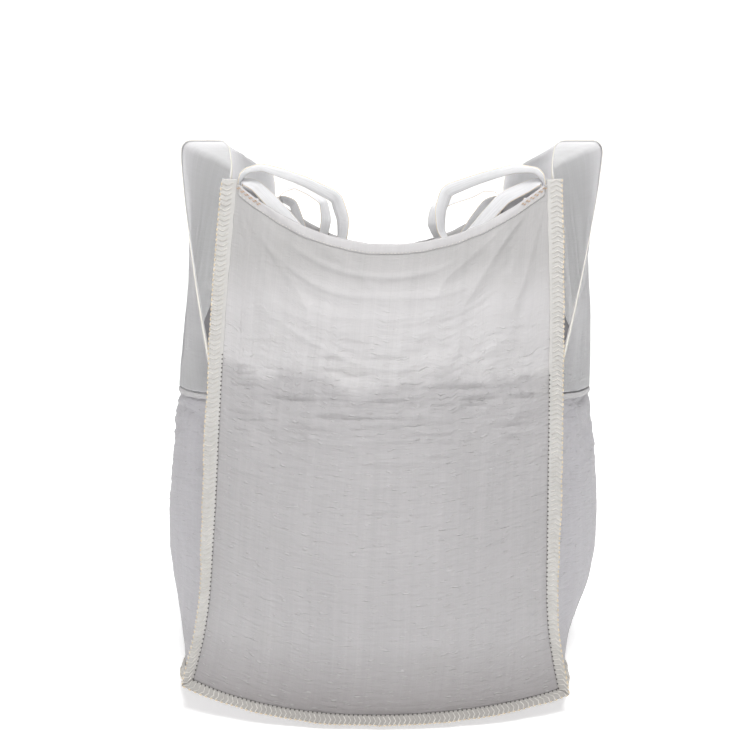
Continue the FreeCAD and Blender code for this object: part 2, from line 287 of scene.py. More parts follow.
def swags(across, z, seed):
    """Shallow curved folds that hang under a sagging rim."""
    below = rim_height(across) - z
    level = below + 60 * across ** 2 + 16 * noise(across * 2, below / 160, seed)
    fold = ridges(level / 50, across * 1.1, seed + 1) * 5.6 + ridges(level / 22, across * 2.3, seed + 2) * 1.8
    middle = 1 - smooth(0.45, 0.92, np.abs(across))
    return fold * smooth(26, 80, below) * (1 - smooth(230, 460, below)) * middle


def weft_creases(across, width, z, seed):
    """Fine level creases where the fill presses the cloth out, deepest near the top of the fill."""
    strong = layers(ridges, WEFT_CREASES, across * width, z, seed)
    strong = strong * (1 + 0.9 * smooth(640, 760, z)) * (1 - smooth(860, 1010, z))
    return strong * (0.18 + 0.82 * smooth(430, 680, z)) * smooth(60, 200, z)


def seam_pucker(distance, along, seed):
    """Small gathers that run out of a line of stitching."""
    return layers(noise, SEAM_GATHERS, along, distance, seed) * np.exp(-distance / GATHER_REACH)


def slubs(x, z, seed, width, height, count=110):
    """Small lumps in the yarn."""
    rng = np.random.default_rng(seed)
    total = 0
    for _ in range(count):
        cx, cz = rng.uniform(-width, width), rng.uniform(120, height)
        size = rng.uniform(0.8, 2.2)
        total = total + size * np.exp(-((x - cx) / 11) ** 2 - ((z - cz) / 4.5) ** 2)
    return total


# ---------------------------------------------------------------------------------------------
# Meshes.

def normals_of(points):
    """Unit normals of a grid of points, by its rows and columns."""
    across = np.gradient(points, axis=1)
    up = np.gradient(points, axis=0)
    cross = np.cross(across, up)
    return cross / np.maximum(np.linalg.norm(cross, axis=-1, keepdims=True), 1e-12)


def unit(vectors):
    return vectors / np.linalg.norm(vectors, axis=-1, keepdims=True)


def along_line(points):
    """The distance of each point from the first, along the line of points."""
    return np.concatenate([[0], np.cumsum(np.linalg.norm(np.diff(points, axis=0), axis=1))])


def resample(points, lengths, spots):
    """The points at some distances along a line of points."""
    return np.stack([np.interp(spots, lengths, column) for column in points.T], axis=-1)


def run_lengths(points, axis):
    steps = np.linalg.norm(np.diff(points, axis=axis), axis=-1)
    total = np.cumsum(steps, axis=axis)
    pad = [(0, 0), (0, 0)]
    pad[axis] = (1, 0)
    return np.pad(total, pad)


def link(obj):
    bpy.context.scene.collection.objects.link(obj)
    return obj


def mesh_object(name, points, faces, uvs=None):
    """A mesh object from points in millimetres, moved over the frame."""
    mesh = bpy.data.meshes.new(name)
    mesh.from_pydata((np.asarray(points) + SHIFT) * MM, [], faces)
    mesh.update()
    if uvs is not None:
        layer = mesh.uv_layers.new(name="cloth")
        corners = np.empty(len(mesh.loops), dtype=np.int32)
        mesh.loops.foreach_get("vertex_index", corners)
        layer.data.foreach_set("uv", (np.asarray(uvs)[corners] * MM).astype(np.float32).ravel())
    mesh.polygons.foreach_set("use_smooth", [True] * len(mesh.polygons))
    return link(bpy.data.objects.new(name, mesh))


def grid_faces(rows, columns, start=0, flip=False):
    ids = start + np.arange(rows * columns).reshape(rows, columns)
    quads = np.stack([ids[:-1, :-1], ids[:-1, 1:], ids[1:, 1:], ids[1:, :-1]], axis=-1).reshape(-1, 4)
    return quads[:, ::-1] if flip else quads


def sheet_object(name, points, thickness, outward=1, relief=None):
    """A closed sheet of cloth around a grid of points, whose front skin faces outward."""
    facing = normals_of(points) * outward
    rows, columns = points.shape[:2]
    if relief is not None:
        points = points + facing * relief[..., None]
        facing = normals_of(points) * outward
    front = (points + facing * thickness / 2).reshape(-1, 3)
    rear = (points - facing * thickness / 2).reshape(-1, 3)
    size = rows * columns
    flip = outward < 0
    faces = [grid_faces(rows, columns, 0, flip), grid_faces(rows, columns, size, not flip)]
    ids = np.arange(size).reshape(rows, columns)
    ring = np.concatenate([ids[0, :-1], ids[:-1, -1], ids[-1, :0:-1], ids[:0:-1, 0]])
    ahead = np.roll(ring, -1)
    border = np.stack([ring, ring + size, ahead + size, ahead], axis=-1)
    faces.append(border[:, ::-1] if flip else border)
    uv = np.stack([run_lengths(points, 1), run_lengths(points, 0)], axis=-1).reshape(-1, 2)
    return mesh_object(name, np.concatenate([front, rear]), np.concatenate(faces).tolist(),
                       np.concatenate([uv, uv]))


def dress(obj, material, body=ROOT, replaces=()):
    """Gives a finished piece its material, its body and the nodes that it stands for."""
    obj.data.materials.clear()
    obj.data.materials.append(material)
    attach(obj, body)
    if replaces:
        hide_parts(*replaces)
    return obj


# ---------------------------------------------------------------------------------------------
# Geometry node trees for stitches.

class Tree:
    """A short way to write a node tree."""

    def __init__(self, tree):
        self.tree = tree

    def add(self, kind, inputs=(), **settings):
        node = self.tree.nodes.new(kind)
        for key, value in settings.items():
            setattr(node, key, value)
        for key, value in dict(inputs).items():
            if isinstance(value, bpy.types.NodeSocket):
                self.tree.links.new(value, node.inputs[key])
            else:
                node.inputs[key].default_value = value
        return node


def stitch_group(name, sizes):
    """A new tree that takes points, sizes in metres and a thread, and its inputs."""
    group = bpy.data.node_groups.new(name, "GeometryNodeTree")
    group.interface.new_socket("Geometry", in_out="INPUT", socket_type="NodeSocketGeometry")
    for label, default in sizes.items():
        socket = group.interface.new_socket(label, in_out="INPUT", socket_type="NodeSocketFloat")
        socket.default_value = default
    group.interface.new_socket("Thread", in_out="INPUT", socket_type="NodeSocketMaterial")
    group.interface.new_socket("Geometry", in_out="OUTPUT", socket_type="NodeSocketGeometry")
    tree = Tree(group)
    return tree, tree.add("NodeGroupInput").outputs


def place_on_points(tree, source, shape):
    """Ends a tree: puts the shape on each point, turned to its across and facing directions."""
    ways = [tree.add("GeometryNodeInputNamedAttribute", {"Name": label}, data_type="FLOAT_VECTOR")
            for label in ("across", "facing")]
    turn = tree.add("FunctionNodeAxesToRotation",
                    {"Primary Axis": ways[0].outputs["Attribute"],
                     "Secondary Axis": ways[1].outputs["Attribute"]},
                    primary_axis="X", secondary_axis="Z")
    put = tree.add("GeometryNodeInstanceOnPoints",
                   {"Points": source["Geometry"], "Instance": shape, "Rotation": turn.outputs["Rotation"]})
    real = tree.add("GeometryNodeRealizeInstances", {"Geometry": put.outputs["Instances"]})
    finish = tree.add("GeometryNodeSetMaterial",
                      {"Geometry": real.outputs["Geometry"], "Material": source["Thread"]})
    tree.add("NodeGroupOutput", {"Geometry": finish.outputs["Geometry"]})
    return tree.tree


def overlock_tree():
    """Thread wrapped round a cloth edge: one slanted loop on each point."""
    tree, source = stitch_group("Overlock Stitches", {
        "Reach": 0.02, "Depth": 0.004, "Thread Radius": 0.0007, "Slant": 0.4})
    loop = tree.add("GeometryNodeCurvePrimitiveQuadrilateral",
                    {"Width": source["Reach"], "Height": source["Depth"]})
    bend = tree.add("GeometryNodeFilletCurve",
                    {"Curve": loop.outputs["Curve"], "Count": 2, "Radius": 0.0014}, mode="POLY")
    thread = tree.add("GeometryNodeCurvePrimitiveCircle",
                      {"Resolution": 5, "Radius": source["Thread Radius"]})
    sweep = tree.add("GeometryNodeCurveToMesh",
                     {"Curve": bend.outputs["Curve"], "Profile Curve": thread.outputs["Curve"]})
    angles = tree.add("ShaderNodeCombineXYZ", {"X": math.pi / 2, "Z": source["Slant"]})
    turn = tree.add("GeometryNodeTransform",
                    {"Geometry": sweep.outputs["Mesh"], "Rotation": angles.outputs["Vector"]})
    return place_on_points(tree, source, turn.outputs["Geometry"])


def stitch_tree():
    """One rounded stitch, or needle hole, on each point."""
    tree, source = stitch_group("Lock Stitches", {"Length": 0.007, "Width": 0.0016, "Height": 0.0012})
    bead = tree.add("GeometryNodeMeshUVSphere", {"Segments": 8, "Rings": 5, "Radius": 0.5})
    size = tree.add("ShaderNodeCombineXYZ",
                    {"X": source["Length"], "Y": source["Width"], "Z": source["Height"]})
    shape = tree.add("GeometryNodeTransform",
                     {"Geometry": bead.outputs["Mesh"], "Scale": size.outputs["Vector"]})
    return place_on_points(tree, source, shape.outputs["Geometry"])


TREES = {}  # filled by main, once the classes are registered


def stitched(name, kind, points, across, facing, sizes, thread):
    """Runs a stitch tree on points in millimetres and keeps the result as a plain, dressed mesh."""
    tree, material = TREES[kind], finish_of(thread)
    host = mesh_object(name + "_points", points, [])
    for label, vectors in (("across", across), ("facing", facing)):
        layer = host.data.attributes.new(label, "FLOAT_VECTOR", "POINT")
        layer.data.foreach_set("vector", np.asarray(vectors, np.float32).ravel())
    modifier = host.modifiers.new("stitches", "NODES")
    modifier.node_group = tree
    values = dict(sizes, Thread=material)
    for item in tree.interface.items_tree:
        if item.item_type == "SOCKET" and item.in_out == "INPUT" and item.name in values:
            modifier[item.identifier] = values[item.name]
    bpy.context.view_layer.update()
    shown = host.evaluated_get(bpy.context.evaluated_depsgraph_get())
    mesh = bpy.data.meshes.new_from_object(shown)
    mesh.name = name
    host.modifiers.clear()
    old = host.data
    bpy.data.objects.remove(host)
    bpy.data.meshes.remove(old)
    mesh.polygons.foreach_set("use_smooth", [True] * len(mesh.polygons))
    return dress(link(bpy.data.objects.new(name, mesh)), material, ROOT)


def stitch_size(kind):
    return dict(zip(("Length", "Width", "Height"), STITCH_SIZES[kind]))


# ---------------------------------------------------------------------------------------------
# Materials.

def toned(colour, share):
    """A colour made darker or lighter, with its alpha."""
    return tuple(min(1, c * share) for c in colour) + (1,)


class Nodes(Tree):
    """A short way to write a material's nodes."""

    def __init__(self, name):
        self.material = bpy.data.materials.new(name)
        self.material.use_nodes = True
        super().__init__(self.material.node_tree)
        self.shader = self.tree.nodes["Principled BSDF"]

    def math(self, operation, a, b=0.0):
        return self.add("ShaderNodeMath", {0: a, 1: b}, operation=operation).outputs[0]

    def total(self, *parts):
        """The sum of some values, each times its weight."""
        first, *rest = [self.math("MULTIPLY", value, weight) for value, weight in parts]
        for part in rest:
            first = self.math("ADD", first, part)
        return first

    def glow(self, weight, depth):
        """Lets light through the cloth, to a depth in metres."""
        self.shader.inputs["Subsurface Weight"].default_value = weight
        self.shader.inputs["Subsurface Radius"].default_value = (1.0, 1.0, 1.0)
        self.shader.inputs["Subsurface Scale"].default_value = depth

    def blend(self, factor, a, b):
        node = self.add("ShaderNodeMix", {0: factor, 6: a, 7: b}, data_type="RGBA")
        return node.outputs[2]

    def tint(self, factor, shade, colour):
        """The shade, multiplied by a colour where the factor is 1."""
        inputs = {0: factor, 6: shade, 7: tuple(colour) + (1,)}
        return self.add("ShaderNodeMix", inputs, data_type="RGBA", blend_type="MULTIPLY").outputs[2]

    def noise(self, vector, scale, detail=2.0):
        inputs = {"Vector": vector, "Scale": scale, "Detail": detail}
        return self.add("ShaderNodeTexNoise", inputs).outputs["Fac"]

    def stretch(self, vector, scale):
        return self.add("ShaderNodeMapping", {"Vector": vector, "Scale": scale}).outputs["Vector"]

    def band(self, value, low, high, out_low=0.0, out_high=1.0):
        node = self.add("ShaderNodeMapRange", {"Value": value, 1: low, 2: high, 3: out_low, 4: out_high})
        return node.outputs["Result"]

    def bump(self, height, distance, strength=1.0, below=None):
        inputs = {"Height": height, "Distance": distance, "Strength": strength}
        if below is not None:
            inputs["Normal"] = below
        return self.add("ShaderNodeBump", inputs).outputs["Normal"]

    def finish(self, colour, roughness, normal, sheen=0.0, specular=0.4):
        for key, value in (("Base Color", colour), ("Roughness", roughness), ("Normal", normal)):
            self.tree.links.new(value, self.shader.inputs[key])
        self.shader.inputs["Sheen Weight"].default_value = sheen
        self.shader.inputs["Specular IOR Level"].default_value = specular
        return self.material


def woven_cloth(name, colour, creases=1.0, glow=0.1, full=False):
    """Cloth woven from flat tapes: streaks along each tape, a fine weave, creases and handling marks."""
    n = Nodes(name)
    uv = n.add("ShaderNodeUVMap", uv_map="cloth").outputs["UV"]
    place = n.add("ShaderNodeTexCoord").outputs["Object"]
    parts = n.add("ShaderNodeSeparateXYZ", {0: uv})
    height = n.add("ShaderNodeSeparateXYZ", {0: place}).outputs["Z"]
    warp = n.math("DIVIDE", parts.outputs["X"], TAPE_WIDTH)
    weft = n.math("DIVIDE", parts.outputs["Y"], TAPE_WIDTH)
    warp_tone = n.noise(n.stretch(uv, (330, 3, 1)), 1.0, 3.0)
    weft_tone = n.noise(n.stretch(uv, (3, 330, 1)), 1.0, 3.0)
    wide_streak = n.noise(n.stretch(uv, (46, 1.2, 1)), 1.0, 3.0)
    cloud = n.noise(place, 3.2, 4.0)
    marks = n.noise(place, 11.0, 6.0)
    tone = n.total((warp_tone, 0.12), (weft_tone, 0.10), (wide_streak, 0.14), (cloud, 0.14))
    shade = n.blend(n.band(tone, 0.17, 0.33), toned(colour, 0.88), toned(colour, 1.05))
    dust = n.band(marks, 0.60, 0.78, 0.0, 0.22)
    shade = n.blend(dust, shade, tuple(c * 0.86 for c in colour[:2]) + (colour[2] * 0.80, 1))
    if full:
        # Painted shade: below a wavy line a little above the fill level the cloth is made darker, where the
        # goods stop light shining through it.
        heap = n.math("ADD", height, n.math("MULTIPLY", n.noise(place, 5.0, 5.0), 0.16))
        painted_fill_shade = n.band(heap, FILL_LEVEL + 0.095, FILL_LEVEL + 0.125, 1.0, 0.0)
        shade = n.tint(painted_fill_shade, shade, (0.79, 0.785, 0.79))
        # Painted shade: the cloth from 1.03 m up to the rim is made darker, as it lies in shade.
        shade = n.tint(n.band(height, 1.03, 1.14), shade, (0.81, 0.81, 0.80))
    # Painted shade: the cloth is made darker towards the bottom, where the bulge turns down away from the
    # light.
    low = n.band(height, 0.03, 0.22, 1.0, 0.0)
    shade = n.tint(low, shade, (0.68, 0.66, 0.65))
    roughness = n.band(warp_tone, 0.3, 0.7, 0.50, 0.62)
    wave_x = n.math("SINE", n.math("MULTIPLY", warp, 2 * math.pi))
    wave_y = n.math("SINE", n.math("MULTIPLY", weft, 2 * math.pi))
    weave = n.math("MULTIPLY", wave_x, wave_y)
    normal = n.bump(weave, 0.00012)
    normal = n.bump(n.math("ADD", warp_tone, weft_tone), 0.0007, 0.5, normal)
    level = n.noise(n.stretch(uv, (20, 105, 1)), 1.0, 2.5)
    upper = n.band(height, 0.86, 1.05, 1.0, 0.25)
    level = n.math("MULTIPLY", level, upper)
    normal = n.bump(level, 0.0036 * creases, 1.0, normal)
    slub = n.band(n.noise(n.stretch(uv, (40, 120, 1)), 1.0, 1.0), 0.62, 0.76)
    slub = n.math("MULTIPLY", slub, upper)
    normal = n.bump(slub, 0.0020 * creases, 1.0, normal)
    # Painted highlight: the slubs are also made lighter in colour, for the light that catches their tops.
    shade = n.blend(n.math("MULTIPLY", slub, 0.24 * creases), shade, toned(colour, 1.3))
    crumple = n.noise(place, 26.0, 4.0)
    normal = n.bump(crumple, 0.004, 0.35, normal)
    n.glow(glow, 0.03 if glow > 0.5 else 0.002)
    return n.finish(shade, roughness, normal, sheen=0.12, specular=0.35)


def webbing_cloth(name, colour, edge):
    """Flat webbing: ribs across it, herringbone down it and a coloured yarn along each edge."""
    n = Nodes(name)
    uv = n.add("ShaderNodeUVMap", uv_map="cloth").outputs["UV"]
    parts = n.add("ShaderNodeSeparateXYZ", {0: uv})
    across, along = parts.outputs["X"], parts.outputs["Y"]
    ribs = n.math("SINE", n.math("MULTIPLY", along, 2 * math.pi / 0.0032))
    zigzag = n.math("PINGPONG", across, 0.0056)
    twill = n.math("SINE", n.math("MULTIPLY", n.math("ADD", along, zigzag), 2 * math.pi / 0.0045))
    height = n.total((ribs, 0.4), (twill, 0.6))
    tone = n.noise(n.stretch(uv, (260, 12, 1)), 1.0, 3.0)
    cloud = n.noise(n.add("ShaderNodeTexCoord").outputs["Object"], 16.0, 4.0)
    mix = n.total((tone, 0.6), (cloud, 0.4))
    shade = n.blend(n.band(mix, 0.35, 0.62), toned(colour, 0.90), toned(colour, 1.05))
    centre = n.math("ABSOLUTE", n.math("SUBTRACT", across, WEBBING_WIDTH * MM / 2))
    rim = n.band(centre, 0.0195, 0.0215)
    shade = n.blend(n.math("MULTIPLY", rim, 0.75), shade, tuple(edge) + (1,))
    normal = n.bump(height, 0.0005, 0.9)
    n.glow(0.7, 0.02)
    return n.finish(shade, n.band(tone, 0.3, 0.7, 0.5, 0.68), normal, sheen=0.2, specular=0.3)


def thread_yarn(name, colour):
    """Sewing thread: twisted strands with a little variation in colour."""
    n = Nodes(name)
    place = n.add("ShaderNodeTexCoord").outputs["Object"]
    tone = n.noise(place, 60.0, 3.0)
    shade = n.blend(n.band(tone, 0.3, 0.7), toned(colour, 0.75), toned(colour, 1))
    normal = n.bump(n.noise(place, 900.0, 1.0), 0.0004, 0.7)
    return n.finish(shade, n.band(tone, 0.3, 0.7, 0.6, 0.8), normal, sheen=0.3, specular=0.25)


def plain_paper(name, colour):
    """The pale studio sheet, with the faintest unevenness."""
    n = Nodes(name)
    place = n.add("ShaderNodeTexCoord").outputs["Object"]
    tone = n.noise(place, 0.8, 2.0)
    shade = n.blend(tone, toned(colour, 0.99), toned(colour, 1))
    n.shader.inputs["Emission Color"].default_value = (1, 1, 1, 1)
    n.shader.inputs["Emission Strength"].default_value = 0.46
    return n.finish(shade, n.band(tone, 0.0, 1.0, 0.85, 0.9), n.bump(tone, 0.0001), specular=0.1)


MATERIALS = {}


def finish_of(kind):
    """The bag's materials, each made once."""
    if not MATERIALS:
        look = bpy.context.scene.bulk_bag
        end, side, strap = look.end_colour, look.side_colour, look.webbing_colour
        MATERIALS["end"] = woven_cloth("woven_end_cloth", tuple(end), full=True)
        MATERIALS["side"] = woven_cloth("woven_side_cloth", tuple(side))
        # Painted light: the sleeve cloth is the side cloth made about twice as light, for the light that
        # shines through its thin, unfilled plies.
        MATERIALS["sleeve"] = woven_cloth("woven_sleeve_cloth", toned(side, 2.05)[:3], 0.5, 0.95)
        MATERIALS["fin"] = woven_cloth("seam_allowance_cloth", (0.56, 0.548, 0.53), 0.3)
        MATERIALS["hem"] = woven_cloth("turned_hem_cloth", toned(end, 0.98)[:3], 0.4)
        MATERIALS["binding"] = woven_cloth("mouth_binding_cloth", (0.86, 0.83, 0.77), 0.2)
        MATERIALS["webbing"] = webbing_cloth("lifting_webbing", tuple(strap), (0.66, 0.50, 0.30))
        MATERIALS["thread"] = thread_yarn("overlock_thread", tuple(look.thread_colour))
        MATERIALS["white_thread"] = thread_yarn("hem_thread", (0.70, 0.68, 0.62))
        # Painted shade: near-black beads stand for the shade inside the needle holes that the fill pulls
        # open.
        MATERIALS["hole"] = thread_yarn("needle_line", (0.10, 0.095, 0.09))
        MATERIALS["edge_thread"] = thread_yarn("seam_edge_thread", (0.72, 0.61, 0.45))
        MATERIALS["loop_thread"] = thread_yarn("loop_bar_thread", (0.52, 0.30, 0.12))
    return MATERIALS[kind]


# ---------------------------------------------------------------------------------------------
# Pieces.

def end_relief(end, across, z):
    """How far the folds push the front or back wall out."""
    seed = 100 + end
    low = base_seam_height(across, 1)
    x = across * HALF_WIDTH(z)
    to_side = (1 - np.abs(across)) * HALF_WIDTH(z)
    relief = layers(noise, DENTS, x, z, seed) * smooth(0, 90, to_side) * smooth(0, 80, z - low)
    relief = relief + corner_pull(across, z, seed + 20) + swags(across, z, seed + 40)
    relief = relief + weft_creases(across, 430, z, seed + 60) * smooth(0, 60, to_side)
    relief = relief + seam_pucker(to_side, z, seed + 70) + seam_pucker(z - low, x, seed + 80)
    relief = relief + slubs(x, z, seed + 90, 400, 1150)
    edge = smooth(0, 22, to_side) * smooth(0, 18, z - low)
    calm = 0.35 + 0.65 * smooth(22, 75, rim_height(across) - z)
    sewn = smooth(2, 8, to_side) * (1 - smooth(50, 85, to_side)) * smooth(1060, 1110, z)
    calm = calm * (1 - 0.6 * sewn)
    return relief * bpy.context.scene.bulk_bag.fold_depth * (SEAM_CALM + (1 - SEAM_CALM) * edge) * calm


def end_panel(name, end, columns, rows):
    """The front (end -1) or back (end 1) wall of cloth."""
    across, up = np.meshgrid(np.linspace(-1.0, 1.0, columns), np.linspace(0, 1, rows))
    low = base_seam_height(across, 1)
    z = low + up * (rim_height(across) - low)
    thickness = bpy.context.scene.bulk_bag.cloth_thickness / MM
    return sheet_object(name, end_wall(end, across, z), thickness, -end, end_relief(end, across, z))


def side_relief(side, across, z):
    """How far the folds push the left or right wall out."""
    seed = 200 + side
    low = base_seam_height(side, across)
    y = across * HALF_DEPTH(z)
    to_seam = (1 - np.abs(across)) * HALF_DEPTH(z)
    hem = hem_height(across)
    relief = layers(noise, DENTS, y, z, seed) * smooth(0, 90, to_seam) * smooth(0, 80, z - low)
    from_hem = np.abs(z - hem)
    pull = ridges(y / 62, z / 420, seed + 5) * 2.6 * np.exp(-from_hem / 150) * smooth(0, 30, from_hem)
    relief = relief + pull + weft_creases(across, 430, z, seed + 60) * smooth(0, 60, to_seam)
    relief = relief + seam_pucker(to_seam, z, seed + 70) + seam_pucker(z - low, y, seed + 80)
    relief = relief + slubs(y, z, seed + 90, 400, 750, 40)
    calm = np.where(z > hem - 20, 0.25 + 0.75 * smooth(hem + 30, hem + 120, z), 1.0)
    edge = smooth(0, 22, to_seam) * smooth(0, 18, z - low)
    calm = calm * (1 - smooth(1240, 1300, z))
    return relief * bpy.context.scene.bulk_bag.fold_depth * (SEAM_CALM + (1 - SEAM_CALM) * edge) * calm


def side_panel(name, side, columns, rows):
    """The left (side -1) or right (side 1) wall of cloth."""
    across, up = np.meshgrid(np.linspace(-1.0, 1.0, columns), np.linspace(0, 1, rows))
    low = base_seam_height(side, across)
    z = low + up * (CORNER_HEIGHT - low)
    thickness = bpy.context.scene.bulk_bag.cloth_thickness / MM
    return sheet_object(name, side_wall(side, across, z), thickness, side, side_relief(side, across, z))


def base_panel(name, columns, rows):
    look = bpy.context.scene.bulk_bag
    u, v = np.meshgrid(np.linspace(-1.0, 1.0, columns), np.linspace(-0.996, 0.996, rows))
    points = base_cloth(u, v)
    rim = 1 - np.maximum(np.abs(u), np.abs(v))
    relief = (2.0 * noise(u * 7, v * 7, 301) + 0.8 * noise(u * 19, v * 19, 302)) * smooth(0, 0.08, rim)
    relief = -np.abs(relief) * look.fold_depth * smooth(0.35, 0.7, 1 - rim) - 0.6
    return sheet_object(name, points + np.array([0, 0, 0.3]), look.cloth_thickness / MM, -1, relief)


def sleeve(name, side, columns, rows, seed):
    """A fork sleeve, from the mouth over the crown to its hem."""
    look = bpy.context.scene.bulk_bag
    outer = int(rows * 0.78)
    runs = [np.linspace(0.02, 1, 12), np.linspace(1, 2, 8)[1:], np.linspace(2, 3, 18)[1:],
            np.linspace(3, 4, 8)[1:], np.linspace(4, 4.992, outer)[1:]]
    across, along = np.meshgrid(np.linspace(-1, 1, columns), np.concatenate(runs))
    points = sleeve_cloth(side, across, along)
    y, z = points[..., 1], points[..., 2]
    hanging = smooth(4.02, 4.3, along)
    near_hem = smooth(4.80, 4.99, along)
    folds = 8.0 * noise(y / 120, z / 700, seed) + 5.5 * ridges(y / 58, z / 520, seed + 1)
    relief = folds * hanging * (1 - 0.75 * near_hem)
    relief = relief + 1.6 * noise(y / 30, z / 90, seed + 2) * hanging * (1 - near_hem)
    relief = relief + seam_pucker(np.abs(z - hem_height(across)), y, seed + 3) * hanging * 0.9
    crown = smooth(1.0, 1.6, along) * (1 - smooth(3.4, 4.0, along))
    relief = relief + crown * (1.2 * noise(y / 90, along * 2, seed + 4) - 0.6)
    notch = np.exp(-((z - (1045 + 25 * noise(y / 200, 0, seed + 6))) / 16) ** 2) * hanging
    relief = relief - notch * 5.5 * smooth(-0.2, 0.5, noise(y / 260, 0, seed + 5))
    mouth_edge = 0.35 + 0.65 * smooth(0, 40, TOP_HALF_DEPTH - np.abs(across) * TOP_HALF_DEPTH)
    relief = relief * look.fold_depth * mouth_edge
    return sheet_object(name, points, look.cloth_thickness / MM, -side, relief)


def edge_band(name, points, facing, thickness, material, replaces, puff=0.0):
    """A narrow folded strip with a rounded face, on a grid of points."""
    rows = points.shape[0]
    swell = np.sin(np.linspace(0, math.pi, rows)) ** 0.5 * puff
    points = points + normals_of(points) * facing * (swell[:, None, None] + thickness / 2)
    piece = sheet_object(name, points, thickness, facing)
    return dress(piece, material, ROOT, replaces)


def fin_reach(side, end, z):
    """Where a corner seam's allowance stands out to: sideways up the seam, and down at the ear."""
    share = smooth(0, 170, z - BASE_SEAM_CORNER)[..., None]
    wider = 1 + 0.32 * smooth(250, 620, z)[..., None]
    upright = np.array([side * 0.93, end * 0.36, 0.0])
    ear = np.array([side * 0.86, end * 0.36, -0.30])
    way = ear + (upright - ear) * share
    return unit(way) * FIN_WIDTH * (1.15 - 0.15 * share) * wider


def fin(name, root, reach, seed, flip):
    """A sewn allowance with overlock thread round its edge and a line of needle holes at its root, drawn as
    near-black beads of painted shade.
    """
    pitch = bpy.context.scene.bulk_bag.overlock_pitch / MM
    lengths = along_line(root)
    wander = 1 + 0.05 * noise(lengths / 40, 0, seed)[:, None]
    share = np.linspace(FIN_ROOT, 1.0, 8)[:, None, None]
    grid = root[None] + reach[None] * wander[None] * share
    facing = normals_of(grid) * flip
    flutter = 1.9 * noise(lengths / 34, 0, seed + 1) + 0.9 * noise(lengths / 13, 0, seed + 2)
    grid = grid + facing * (flutter[None, :, None] * np.maximum(share, 0) ** 1.5)
    dress(sheet_object(name + "_cloth", grid, FIN_THICKNESS, flip), finish_of("fin"), ROOT,
          (name,))
    facing = normals_of(grid) * flip
    spots = np.arange(6, lengths[-1] - 4, pitch)

    def pick(row):
        return resample(row, lengths, spots)

    inner, outer, front = pick(grid[2]), pick(grid[-1]), pick(facing[4])
    across = outer - inner
    width = float(np.linalg.norm(across, axis=1).mean())
    for part, place, slant in (("inner", 0.27, -0.5), ("outer", 0.77, 0.5)):
        sizes = {"Reach": (width * 0.52 + 1.0) * MM, "Depth": 0.0046, "Thread Radius": 0.0014,
                 "Slant": slant}
        stitched(f"{name}_{part}_overlock", "overlock", inner + across * place, across, front, sizes,
                 "thread")
    stitched(name + "_edge_thread", "stitch", outer, pick(np.gradient(grid[-1], axis=0)), front,
             stitch_size("edge bead"), "edge_thread")
    spots = np.arange(4, lengths[-1] - 4, STITCH_PITCH)
    outside = -pick(facing[2])
    hole_points = pick(grid[1]) + outside * 2.5
    tangent = pick(np.gradient(grid[1], axis=0))
    open_holes = hole_points[:, 2] < HOLE_TOP + 60 * noise(spots / 90, 0, seed + 3)
    # The open needle holes are drawn as near-black beads: painted shade, not thread.
    stitched(name + "_needle_line", "stitch", hole_points[open_holes], tangent[open_holes],
             outside[open_holes], stitch_size("needle hole"), "hole")


def corner_seam(side, end):
    """The upright allowance at one corner of the bag."""
    z = np.linspace(float(base_seam_height(side, 1)), CORNER_HEIGHT + 8.0, 420)
    fin(f"{END_NAMES[end]}_{SIDE_NAMES[side]}_seam", side_wall(side, float(end), z),
        fin_reach(side, end, z), 500 + 7 * side + 3 * end, -side * end)


def base_seam(name, across, root, outward, ears, seed, flip, ear_cut=0.0):
    """The allowance along one side of the base, which runs out into an ear at each corner."""
    middle = np.array([outward[0] * 0.62, outward[1] * 0.62, -0.64]) * FIN_WIDTH
    reach = middle + (ears - middle) * (np.abs(across) ** 6)[:, None]
    reach = reach * (1 - ear_cut * np.abs(across)[:, None] ** 3)
    fin(name, root, reach, seed, flip)


# Each loop's route, from its bend at a corner: inwards from the corner seam, and up from its top.
STUB = [(4, -30), (5, -4), (11, 20), (26, 32)]
LOOP_ROUTES = {
    ("front", "left"): [(59, 38), (98, 27), (160, 5), (226, -28), (238, -40), (252, -86), (250, -128),
                        (222, -188), (175, -180), (142, -112), (93, -56), (46, -8)],
    ("front", "right"): [(77, 35), (150, 15), (224, -12), (240, -24), (252, -64), (251, -112), (226, -150),
                         (186, -128), (150, -90), (99, -35), (46, -8)],
    ("back", "left"): [(60, 46), (104, 28), (150, -4), (160, -62), (148, -122), (120, -178), (84, -160),
                       (80, -92), (66, -50), (52, -12)],
    ("back", "right"): [(62, 36), (104, 17), (164, -1), (216, -24), (228, -77), (206, -128), (166, -160),
                        (130, -122), (96, -72), (52, -12)],
}
LOWER_STUB = [(26, 2), (9, 4), (4, -20)]
# How far the webbing is turned about its length, in degrees, at even shares of the loop.
LOOP_TWIST = [0, 8, 27, 30, 36, 48, 34, 18, 34, 44, 46, 40, 14]
WEBBING_EASE = 0.24  # how gently webbing bends: 0.5 is a soft curve and 0 is folded sharp


def smooth_route(route, step=4.0):
    """Even points along a curve through the route."""
    points = np.array(route, float)
    ends = np.vstack([2 * points[0] - points[1], points, 2 * points[-1] - points[-2]])
    out = []
    for i in range(len(points) - 1):
        a, b, c, d = ends[i:i + 4]
        t = np.linspace(0, 1, 16, endpoint=False)[:, None]
        leave, arrive = (c - a) * WEBBING_EASE, (d - b) * WEBBING_EASE
        out.append((1 + 2 * t) * (1 - t) ** 2 * b + t * (1 - t) ** 2 * leave
                   + t * t * (3 - 2 * t) * c - t * t * (1 - t) * arrive)
    curve = np.vstack(out + [points[-1:]])
    lengths = along_line(curve)
    return resample(curve, lengths, np.arange(0, lengths[-1], step))


